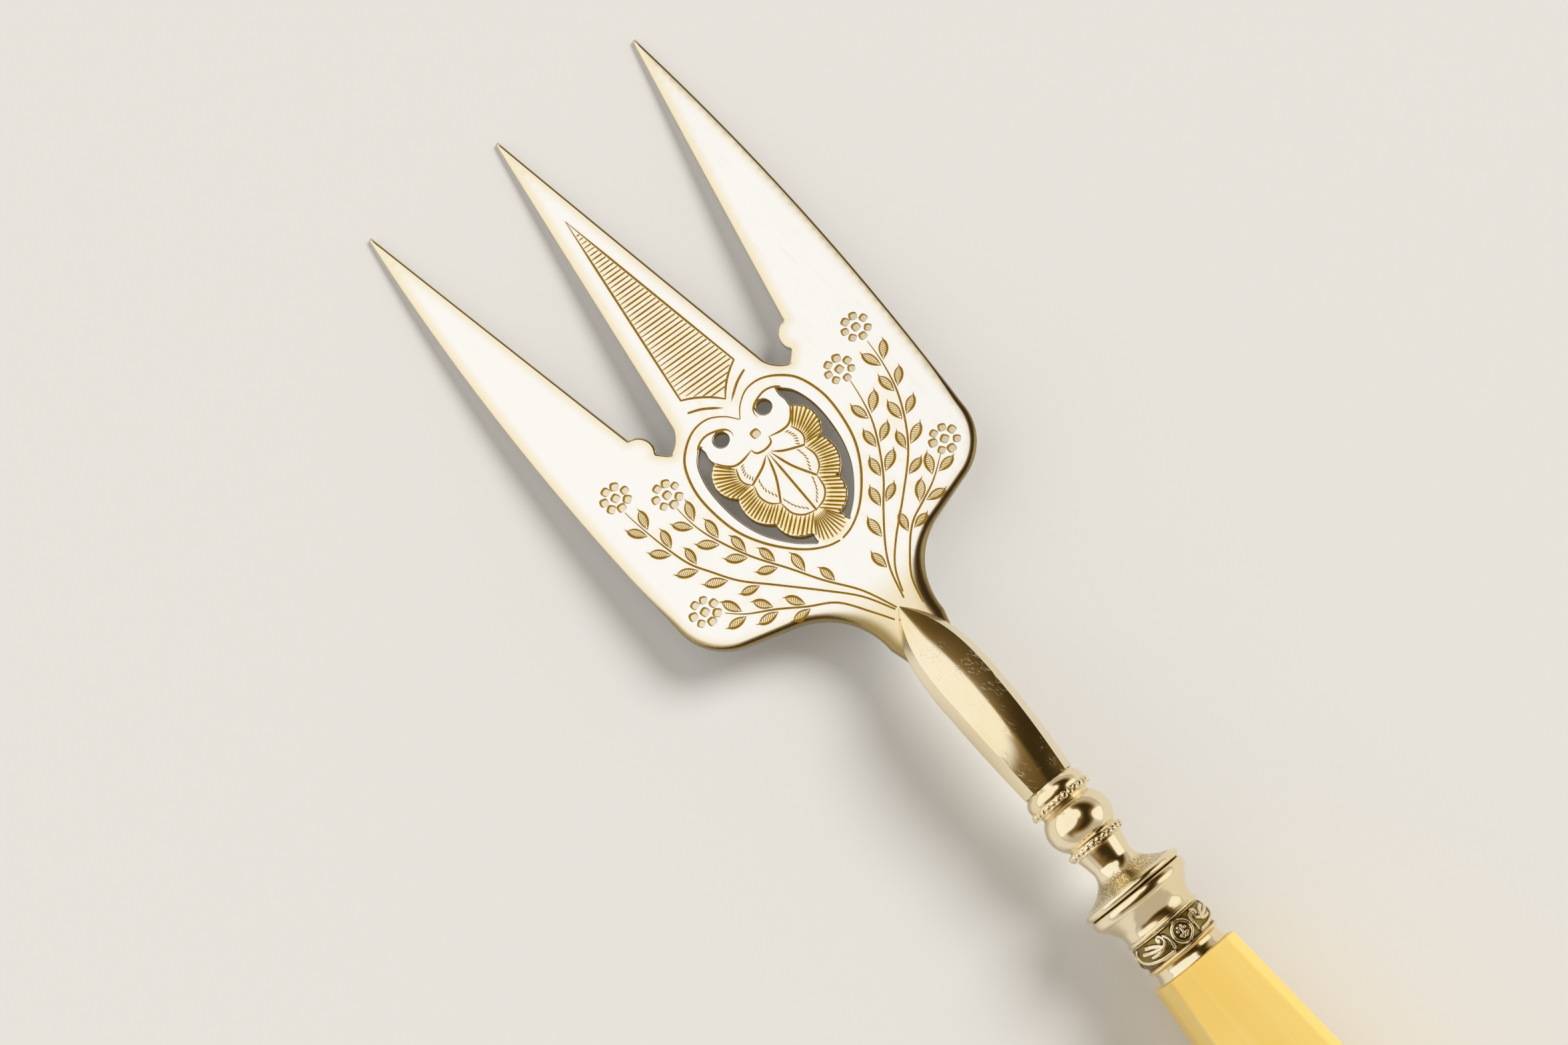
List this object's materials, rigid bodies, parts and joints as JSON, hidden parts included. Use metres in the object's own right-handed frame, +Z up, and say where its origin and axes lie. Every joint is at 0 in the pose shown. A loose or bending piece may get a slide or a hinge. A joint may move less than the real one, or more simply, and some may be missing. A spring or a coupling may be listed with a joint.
{
  "type": "bread fork",
  "caption": "Table fork for serving bread, with a flat pierced and engraved head, spear tines, an arched neck, a turned bolster, a stamped ferrule and a bevelled cream handle.",
  "frame": {"origin": "on the table, under the middle of the fork's length", "axes": "+X towards the tine tips, +Y across the head, +Z up from the table"},
  "size_m": [0.2234, 0.049, 0.0168],
  "materials": {
    "plate": "polished silver plate, warm with age, with golden engraved lines",
    "bolster_plate": "polished silver plate with warm tarnish in the turned grooves",
    "ferrule_plate": "stamped silver plate, yellowed, dark in the hollows",
    "cement": "dull brown cement",
    "handle": "satin ivory-coloured, with fine straight grain"
  },
  "bodies": {
    "root": {"fork_head": "plate", "bolster": "bolster_plate", "ferrule": "ferrule_plate", "cement": "cement", "handle": "handle"}
  },
  "joints": []
}
